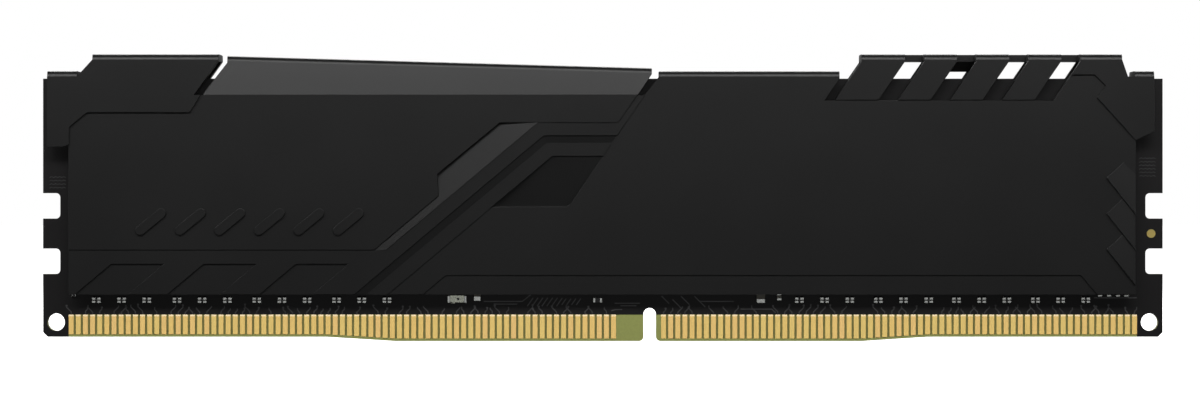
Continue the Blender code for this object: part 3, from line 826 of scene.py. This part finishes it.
def rounded_spreader(node, radius):
    """A copy of one half, with its outward edges rounded.

    A face too small for its rounded edges would fold over itself, so the
    edges of such a face are left sharp.
    """
    spared = set()
    while True:
        bm = copy_of(node)
        numbers = bm.faces.layers.int.new("number")
        for number, face in enumerate(bm.faces):
            face[numbers] = number
        edges = []
        for edge in pressed_edges(bm, radius):
            if not spared & {face[numbers] for face in edge.link_faces}:
                edges.append(edge)
        round_edges(bm, edges, radius, clamped=False)
        folded = folded_faces(bm, numbers) - spared
        if not folded:
            bm.faces.layers.int.remove(numbers)
            return bm
        spared |= folded
        bm.free()


def spreader_half(label, settings):
    """One half of the heat spreader, with its pressed edges rounded."""
    node = f"heat_spreader_{label}"
    bm = rounded_spreader(node, settings.edge_radius)
    finishes = ["black_anodised_aluminium"]
    finish_piece(f"spreader_{label}", bm, finishes, [node])


# ------------------------------------------------------------------ the board


def finished_board(settings):
    """The board, with mask, bare laminate and cut edges told apart."""
    bm = copy_of("pcb")
    cuts = (
        ((0.0, 0.0, settings.bare_height), (0.0, 0.0, 1.0)),
        ((settings.bare_half_length, 0.0, 0.0), (1.0, 0.0, 0.0)),
        ((-settings.bare_half_length, 0.0, 0.0), (1.0, 0.0, 0.0)),
    )
    for point, normal in cuts:
        everything = list(bm.verts) + list(bm.edges) + list(bm.faces)
        bmesh.ops.bisect_plane(
            bm, geom=everything, dist=WELD_DISTANCE, plane_co=point, plane_no=normal
        )
    for face in bm.faces:
        middle = face.calc_center_median()
        bare = middle.z < settings.bare_height
        bare = bare and abs(middle.x) < settings.bare_half_length
        if abs(face.normal.y) < 0.5:
            face.material_index = 2
        elif bare:
            face.material_index = 1
    finishes = ["black_solder_mask", "bare_laminate", "routed_laminate_edge"]
    finish_piece("board", bm, finishes, ["pcb"])


def strip(bm, points, width, y):
    """Add a flat strip along (x, z) points, with mitred corners."""
    points = [Vector(point) for point in points]
    rows = []
    for index, point in enumerate(points):
        before = (point - points[index - 1]).normalized() if index else None
        last = index == len(points) - 1
        after = None if last else (points[index + 1] - point).normalized()
        along = ((before or after) + (after or before)).normalized()
        across = Vector((-along.y, along.x))
        reach = width / 2 / max(0.5, abs(along.dot(after or before)))
        ends = (point - across * reach, point + across * reach)
        rows.append([Vector((end.x, y, end.y)) for end in ends])
    corners = [bm.verts.new(place) for place in rows[0]]
    edge = bm.edges.new(corners)
    for row in rows[1:]:
        made = bmesh.ops.extrude_edge_only(bm, edges=[edge])["geom"]
        edge = next(item for item in made if isinstance(item, bmesh.types.BMEdge))
        fresh = [item for item in made if isinstance(item, bmesh.types.BMVert)]
        for vertex in fresh:
            old = [e.other_vert(vertex) for e in vertex.link_edges if e is not edge]
            vertex.co = row[0] if corners[0] in old else row[1]
        corners = [
            next(v for v in fresh if v.co == row[0]),
            next(v for v in fresh if v.co == row[1]),
        ]


def pad_ring(bm, x, z, radius, y):
    """Add a small round land where a trace dives through the board."""
    turn = Matrix.Translation((x, y, z)) @ Matrix.Rotation(math.pi / 2, 4, "X")
    bmesh.ops.create_circle(
        bm, cap_ends=True, segments=10, radius=radius, matrix=turn
    )


# Traces beside the contacts: lengths in millimetres, and the draws that decide
NO_ROUTE = 0.22
HAS_LAND = 0.7
ROUTE_JOGS = (-0.55, -0.4, -0.25, 0.25, 0.4, 0.55)
ROUTE_RISE = (0.15, 0.3)
ROUTE_REACH = (0.1, 0.35)
LAND_RADIUS = 0.13 * MM


def short_routes(rng, first_x, count, pitch, low):
    """Traces from the contacts' tops to lands or terminals above them."""
    routes = []
    lands = []
    for index in range(count):
        x = first_x + index * pitch
        chance = rng.random()
        if chance < NO_ROUTE:
            continue
        jog = rng.choice(ROUTE_JOGS) * MM
        rise = rng.uniform(*ROUTE_RISE) * MM
        knee = low + rise
        bend = knee + abs(jog)
        top = bend + rng.uniform(*ROUTE_REACH) * MM
        routes.append([(x, low), (x, knee), (x + jog, bend), (x + jog, top)])
        if chance > HAS_LAND:
            lands.append((x + jog, top))
    return routes, lands


# Longer traces on the front, as (x, z) points in millimetres
LONG_ROUTES = (
    ((-14.2, 4.72), (-9.6, 4.72), (-8.6, 5.5)),
    ((-13.0, 4.4), (-10.2, 4.4)),
    ((1.4, 4.5), (4.4, 4.5)),
    ((2.1, 4.2), (4.0, 4.2)),
    ((1.0, 3.6), (1.5, 3.75), (2.3, 3.75)),
    ((11.6, 4.72), (15.6, 4.72)),
    ((16.4, 3.8), (20.1, 3.8), (20.6, 3.35)),
    ((58.5, 5.15), (63.6, 5.15)),
)
SLANTED_ROUTES = (
    (-9.0, 4.15, 1.0, 7),
    (-4.9, 4.3, 0.75, 4),
)
SLANTED_PITCH = 0.58
SLANTED_LEAN = 0.7
SQUIGGLES = ((63.9, 19.6, 6), (-65.9, 18.2, 4))
FALLING_ROUTES = ((7.0, 5.35, 0.9), (8.3, 4.95, 1.05), (9.3, 5.35, 1.0), (10.9, 5.35, 1.3))


def long_routes():
    """The longer traces that run between groups of components."""
    routes = []
    for points in LONG_ROUTES:
        routes.append([(x * MM, z * MM) for x, z in points])
    for x, z, reach, count in SLANTED_ROUTES:
        for index in range(count):
            left = x + index * SLANTED_PITCH
            right = left + reach * SLANTED_LEAN
            routes.append([(left * MM, z * MM), (right * MM, (z + reach) * MM)])
    for x, z, fall in FALLING_ROUTES:
        routes.append([(x * MM, z * MM), ((x + fall) * MM, (z - fall) * MM)])
    return routes


def squiggle_routes(x, z, count):
    """A block of traces drawn back and forth so that they all have one length."""
    routes = []
    for row in range(count):
        level = z + row * 0.42
        points = []
        for step in range(9):
            lift = 0.14 if step % 2 else 0.0
            points.append(((x + step * 0.24) * MM, (level + lift) * MM))
        routes.append(points)
    return routes


def board_traces(label, settings, contacts):
    """The traces and lands that show through the mask on one face."""
    side = SIDES[label]
    rng = random.Random(settings.seed + side)
    y = side * (BOARD_FACE + settings.trace_height)
    low = settings.bare_height + 0.12 * MM
    bm = bmesh.new()
    routes = []
    lands = []
    for bank in BANKS:
        start, end = (corner.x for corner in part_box(f"contacts_{label}_{bank}"))
        count = round((end - start - contacts.width) / contacts.pitch) + 1
        first_x = start + contacts.width / 2
        made = short_routes(rng, first_x, count, contacts.pitch, low)
        routes += made[0]
        lands += made[1]
    if side == FRONT:
        routes += long_routes()
    for number, points in enumerate(routes):
        lift = side * TRACE_STEP * (number % TRACE_LEVELS)
        strip(bm, points, settings.trace_width, y + lift)
    if side == FRONT:
        for x, z, count in SQUIGGLES:
            for points in squiggle_routes(x, z, count):
                strip(bm, points, settings.trace_width / 2, y)
    for x, z in lands:
        pad_ring(bm, x, z, LAND_RADIUS, y + side * TRACE_STEP * TRACE_LEVELS)
    bmesh.ops.recalc_face_normals(bm, faces=bm.faces)
    wrong = [face for face in bm.faces if face.normal.y * side < 0]
    bmesh.ops.reverse_faces(bm, faces=wrong)
    bmesh.ops.solidify(bm, geom=list(bm.faces), thickness=settings.trace_height)
    bmesh.ops.recalc_face_normals(bm, faces=bm.faces)
    finish_piece(f"traces_{label}", bm, ["mask_over_copper"])


def fiducial_clearance():
    """The ring of darker laminate that the mask leaves open around the mark."""
    low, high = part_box("fiducial_mark")
    centre = (low + high) / 2
    radius = (high.x - low.x) / 2
    bm = bmesh.new()
    turn = Matrix.Translation((centre.x, -BOARD_FACE - 0.004 * MM, centre.z))
    turn = turn @ Matrix.Rotation(math.pi / 2, 4, "X")
    bmesh.ops.create_circle(
        bm, cap_ends=True, segments=48, radius=radius * 1.5, matrix=turn
    )
    bmesh.ops.solidify(bm, geom=list(bm.faces), thickness=0.003 * MM)
    bmesh.ops.recalc_face_normals(bm, faces=bm.faces)
    finish_piece("fiducial_clearance", bm, ["black_solder_mask"])
    refinish("fiducial_mark", "immersion_gold")


# --------------------------------------------------------------- the contacts


def contact_bank(label, bank, settings):
    """One bank of separate contacts, with thin laminate sheets between them painted darker as
    painted shade.
    """
    node = f"contacts_{label}_{bank}"
    side = SIDES[label]
    low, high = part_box(node)
    count = round((high.x - low.x - settings.width) / settings.pitch) + 1
    top = CONTACT_TOP
    face_y = side * (high.y if side == REAR else -low.y)
    back_y = side * (BOARD_FACE - COPPER_SINK)
    bm = bmesh.new()
    for index in range(count):
        x = low.x + settings.width / 2 + index * settings.pitch
        foot = contact_foot(x)
        centre = Vector((x, (face_y + back_y) / 2, (foot + top) / 2))
        size = Vector((settings.width, abs(face_y - back_y), top - foot))
        made = add_block(bm, centre, size)
        for vertex in made:
            if abs(vertex.co.y - face_y) > WELD_DISTANCE:
                continue
            vertex.co.x += settings.side_slope * (1 if vertex.co.x < x else -1)
        if index == count - 1:
            continue
        # Painted shade: a thin sheet of darker laminate in the gap to the next contact
        centre = Vector((x + settings.pitch / 2, side * BOARD_FACE, centre.z))
        size = Vector((settings.pitch - settings.width, SHADED_GAP_DEPTH, size.z))
        add_block(bm, centre, size, 0.0, 1)
    name = f"contacts_{label}_{bank}_plated"
    finishes = ["hard_gold_plating", "shaded_gap_laminate"]
    finish_piece(name, bm, finishes, [node], FACETED_ANGLE)


def contact_foot(x):
    """Height of a contact's lower end at x, which follows the stepped edge."""
    rise = BOARD_LOW.z + EDGE_RISE
    if x < 0.0:
        part = (LEFT_SLOPE_START - x) / LEFT_SLOPE_LENGTH
    else:
        part = (x - RIGHT_SLOPE_START) / RIGHT_SLOPE_LENGTH
    return CONTACT_GAP + rise * min(1.0, max(0.0, part))


# ------------------------------------------------------------- the components


def terminal(bm, centre, size, radius, material=1):
    """Add a tinned terminal with rounded edges."""
    add_block(bm, centre, size, radius, material)


def solder_fillet(bm, centre, size, away, material=1):
    """Add solder that climbs from the board to a terminal's end.

    away is the direction along Z in which the solder thins out.
    """
    made = add_block(bm, centre, size, 0.0, material)
    for vertex in made:
        outer = (vertex.co.z - centre.z) * away > 0
        if outer and vertex.co.y < centre.y:
            vertex.co.y += size.y * 0.75
            vertex.co.x += (centre.x - vertex.co.x) * 0.35
    edges = list({edge for vertex in made for edge in vertex.link_edges})
    round_edges(bm, edges, min(size) * 0.2, 2)


# Blocks of the components, as shares of the component's size
ARRAY_BODY = (0.9, 0.72, 0.62)
ARRAY_GLAZE = (0.26, 0.2, 0.5)
ARRAY_TERMINAL = (0.4, 0.98, 0.42)
ARRAY_SOLDER = (0.34, 0.6, 0.34)
LID_BODY = (0.78, 0.9, 0.94)
LID_TERMINAL = (0.14, 1.0, 0.88)


def resistor_array(node):
    """An array of two resistors: glazed ceramic with a terminal at each corner."""
    low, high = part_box(node)
    centre = (low + high) / 2
    size = high - low
    bm = bmesh.new()
    body = part_of(size, ARRAY_BODY)
    add_block(bm, centre + Vector((0.0, size.y * 0.1, 0.0)), body, 0.02 * MM, 2)
    glaze_y = -size.y * 0.32
    glaze = part_of(size, ARRAY_GLAZE)
    add_block(bm, centre + Vector((0.0, glaze_y, 0.0)), glaze, 0.03 * MM, 0)
    for across in (-1, 1):
        for up in (-1, 1):
            place = centre + Vector((across * size.x * 0.28, 0.0, up * size.z * 0.27))
            terminal(bm, place, part_of(size, ARRAY_TERMINAL), 0.04 * MM)
            foot = Vector((0.0, size.y * 0.22, up * size.z * 0.26))
            solder_fillet(bm, place + foot, part_of(size, ARRAY_SOLDER), up)
    finishes = ["fired_glaze", "reflowed_tin", "alumina_ceramic"]
    finish_piece(f"{node}_soldered", bm, finishes, [node])


def two_ended(node, along, share, body_finish):
    """A chip component with a tinned terminal at each end."""
    low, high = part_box(node)
    centre = (low + high) / 2
    size = high - low
    bm = bmesh.new()
    body = size.copy()
    body.y *= 0.94
    body[along] *= 0.96
    other = 2 - along
    body[other] *= 0.92
    add_block(bm, centre, body, 0.03 * MM, 0)
    for end in (-1, 1):
        block = size.copy()
        block[along] *= share
        place = centre.copy()
        place[along] += end * (size[along] - block[along]) / 2
        terminal(bm, place, block, min(0.08 * MM, block[along] * 0.4))
    finish_piece(f"{node}_soldered", bm, [body_finish, "reflowed_tin"], [node])


def input_capacitor():
    """The widest component: a framed body with a small orientation dimple."""
    node = "input_capacitor"
    low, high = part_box(node)
    centre = (low + high) / 2
    size = high - low
    bm = bmesh.new()
    body = part_of(size, LID_BODY)
    made = add_block(bm, centre, body, 0.0, 0)
    faces = {face for vertex in made for face in vertex.link_faces}
    lid = [min(faces, key=lambda face: face.calc_center_median().y)]
    bmesh.ops.inset_region(bm, faces=lid, thickness=0.12 * MM, depth=-0.03 * MM)
    for end in (-1, 1):
        place = centre + Vector((end * size.x * 0.43, 0.0, -size.z * 0.06))
        terminal(bm, place, part_of(size, LID_TERMINAL), 0.06 * MM)
    place = centre + Vector((0.12 * MM, 0.03 * MM - body.y / 2, 0.0))
    dimple = bmesh.ops.create_cone(
        bm,
        cap_ends=True,
        segments=16,
        radius1=0.17 * MM,
        radius2=0.13 * MM,
        depth=0.05 * MM,
        matrix=Matrix.Translation(place) @ Matrix.Rotation(math.pi / 2, 4, "X"),
    )
    for vertex in dimple["verts"]:
        for face in vertex.link_faces:
            face.material_index = 2
    finishes = ["nickel_lid", "reflowed_tin", "fired_glaze"]
    finish_piece(f"{node}_soldered", bm, finishes, [node])


# ------------------------------------------------------------------ operators


class MODULE_OT_spreader(bpy.types.Operator):
    """Finish both halves of the heat spreader."""

    bl_idname = "module.spreader"
    bl_label = "Heat spreader"

    def execute(self, context):
        for label in SIDES:
            spreader_half(label, context.scene.module_spreader)
        return {"FINISHED"}


class MODULE_OT_board(bpy.types.Operator):
    """Finish the printed board, its traces and its fiducial mark."""

    bl_idname = "module.board"
    bl_label = "Printed board"

    def execute(self, context):
        scene = context.scene
        finished_board(scene.module_board)
        for label in SIDES:
            board_traces(label, scene.module_board, scene.module_contacts)
        fiducial_clearance()
        return {"FINISHED"}


class MODULE_OT_contacts(bpy.types.Operator):
    """Make the separate gold contacts of all four banks."""

    bl_idname = "module.contacts"
    bl_label = "Edge contacts"

    def execute(self, context):
        for label in SIDES:
            for bank in BANKS:
                contact_bank(label, bank, context.scene.module_contacts)
        return {"FINISHED"}


class MODULE_OT_arrays(bpy.types.Operator):
    """Make the resistor arrays under the memory chips."""

    bl_idname = "module.arrays"
    bl_label = "Resistor arrays"

    def execute(self, context):
        for node in sorted(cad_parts):
            if node.startswith("resistor_array"):
                resistor_array(node)
        return {"FINISHED"}


class MODULE_OT_components(bpy.types.Operator):
    """Make the capacitors and single resistors."""

    bl_idname = "module.components"
    bl_label = "Small components"

    def execute(self, context):
        input_capacitor()
        two_ended("filter_capacitor_left", 2, 0.42, "capacitor_ceramic")
        two_ended("bulk_capacitor", 2, 0.3, "capacitor_ceramic")
        two_ended("filter_capacitor_right", 2, 0.38, "capacitor_ceramic")
        two_ended("pull_up_resistor", 0, 0.3, "fired_glaze")
        two_ended("test_link", 0, 0.36, "fired_glaze")
        for node in sorted(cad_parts):
            if node.startswith("decoupling_capacitor"):
                two_ended(node, 2, 0.3, "capacitor_ceramic")
        return {"FINISHED"}


class MODULE_OT_hidden(bpy.types.Operator):
    """Finish the chips and pads between the board and the heat spreader."""

    bl_idname = "module.hidden"
    bl_label = "Chips and pads"

    def execute(self, context):
        for node in sorted(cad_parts):
            if node.startswith("dram") or node == "spd_chip":
                refinish(node, "moulded_epoxy")
            if node.startswith("thermal_pad"):
                refinish(node, "silicone_pad")
        return {"FINISHED"}


def add_light(name, place, aim, size, power):
    """Add a rectangular soft box that faces a point."""
    lamp = bpy.data.lights.new(name, "AREA")
    lamp.shape = "RECTANGLE"
    lamp.size, lamp.size_y = size
    lamp.energy = power
    holder = bpy.data.objects.new(name, lamp)
    holder.location = place
    direction = Vector(aim) - Vector(place)
    holder.rotation_euler = direction.to_track_quat("-Z", "Y").to_euler()
    bpy.context.scene.collection.objects.link(holder)
    return holder


def rising(tree, value, start, end, top):
    """A value that climbs smoothly from 0 at start to top at end."""
    sockets = {"Value": value, "From Min": start, "From Max": end, "To Max": top}
    node = add_node(tree, "ShaderNodeMapRange", sockets, interpolation_type="SMOOTHSTEP")
    return node.outputs["Result"]


def studio_world():
    """White for the camera, and for the module a dim fill, brighter behind and beside it."""
    world = bpy.data.worlds.new("studio")
    bpy.context.scene.world = world
    world.use_nodes = True
    tree = world.node_tree
    tree.nodes.clear()
    seen = add_node(tree, "ShaderNodeBackground", {"Color": (1, 1, 1, 1), "Strength": 1.0})
    direction = add_node(tree, "ShaderNodeTexCoord").outputs["Generated"]
    split = add_node(tree, "ShaderNodeSeparateXYZ", {0: direction})
    beside = add_node(
        tree, "ShaderNodeMath", {0: split.outputs["X"]}, operation="ABSOLUTE"
    ).outputs[0]
    beside = rising(tree, beside, 0.5, 0.85, SIDE_FILL)
    behind = rising(tree, split.outputs["Y"], 0.1, 0.5, SIDE_FILL)
    strength = add_node(
        tree, "ShaderNodeMath", {0: beside, 1: behind}, operation="MAXIMUM"
    ).outputs[0]
    strength = add_node(
        tree, "ShaderNodeMath", {0: strength, 1: FRONT_FILL}, operation="MAXIMUM"
    ).outputs[0]
    fill = add_node(tree, "ShaderNodeBackground", {"Color": (1, 1, 1, 1), "Strength": strength})
    ray = add_node(tree, "ShaderNodeLightPath").outputs["Is Camera Ray"]
    mixed = add_node(
        tree, "ShaderNodeMixShader", {0: ray, 1: fill.outputs[0], 2: seen.outputs[0]}
    )
    add_node(tree, "ShaderNodeOutputWorld", {"Surface": mixed.outputs[0]})


def studio_floor(settings):
    """A pale floor under the contact edge, which only the camera sees."""
    bm = bmesh.new()
    bmesh.ops.create_grid(bm, x_segments=1, y_segments=1, size=3.0)
    bmesh.ops.translate(bm, verts=bm.verts, vec=(0.0, 0.0, BOARD_LOW.z - 0.02 * MM))
    mesh = bpy.data.meshes.new("floor")
    bm.to_mesh(mesh)
    bm.free()
    finish, tree, shader, place = start_finish("studio_floor")
    tone = noise_at(tree, place, 60.0 * MM)
    low = shade(settings.floor_colour, 0.97)
    colour = blend_colours(tree, tone, low, rgba(settings.floor_colour))
    link(tree, colour, shader, "Base Color")
    shader.inputs["Roughness"].default_value = 0.9
    shader.inputs["Emission Color"].default_value = (1.0, 1.0, 1.0, 1.0)
    shader.inputs["Emission Strength"].default_value = 1.0
    mesh.materials.append(finish)
    floor = bpy.data.objects.new("floor", mesh)
    bpy.context.scene.collection.objects.link(floor)
    floor.visible_diffuse = False
    floor.visible_glossy = False
    floor.visible_shadow = False


def studio_camera(settings):
    """A long lens, level with the middle of the heat spreader."""
    data = bpy.data.cameras.new("camera")
    data.sensor_width = 36.0
    data.lens = data.sensor_width * settings.camera_distance / settings.frame_width
    data.clip_start = 0.01
    data.clip_end = 20.0
    camera = bpy.data.objects.new("camera", data)
    camera.location = (-0.34 * MM, -settings.camera_distance, 16.5 * MM)
    camera.rotation_euler = (math.pi / 2, 0.0, 0.0)
    bpy.context.scene.collection.objects.link(camera)
    bpy.context.scene.camera = camera


class MODULE_OT_stage(bpy.types.Operator):
    """Set up the pale floor, the soft boxes and the camera."""

    bl_idname = "module.stage"
    bl_label = "Studio"

    def execute(self, context):
        settings = context.scene.module_stage
        studio_world()
        studio_floor(settings)
        studio_camera(settings)
        middle = (0.0, 0.0, 17.0 * MM)
        power = settings.key_power
        for name, place, size, share in LAMPS:
            add_light(name, place, middle, size, power * share)
        context.scene.view_settings.view_transform = "Standard"
        return {"FINISHED"}


class MODULE_PT_panel(bpy.types.Panel):
    """Buttons for each group of pieces."""

    bl_label = "Memory module"
    bl_space_type = "VIEW_3D"
    bl_region_type = "UI"
    bl_category = "Memory module"

    def draw(self, context):
        for operator in OPERATORS:
            self.layout.operator(operator.bl_idname)
        for name, group in SETTINGS.items():
            box = self.layout.box()
            for field in group.__annotations__:
                box.prop(getattr(context.scene, name), field)


OPERATORS = (
    MODULE_OT_stage,
    MODULE_OT_spreader,
    MODULE_OT_board,
    MODULE_OT_contacts,
    MODULE_OT_arrays,
    MODULE_OT_components,
    MODULE_OT_hidden,
)
CLASSES = (*SETTINGS.values(), *OPERATORS, MODULE_PT_panel)


def register():
    for cls in CLASSES:
        bpy.utils.register_class(cls)
    for name, group in SETTINGS.items():
        setattr(bpy.types.Scene, name, PointerProperty(type=group))


def unregister():
    for name in SETTINGS:
        delattr(bpy.types.Scene, name)
    for cls in reversed(CLASSES):
        bpy.utils.unregister_class(cls)


def main():
    register()
    FINISHES.update(make_finishes(bpy.context.scene))
    for operator in OPERATORS:
        group, action = operator.bl_idname.split(".")
        getattr(getattr(bpy.ops, group), action)()


if __name__ == "__main__":
    main()
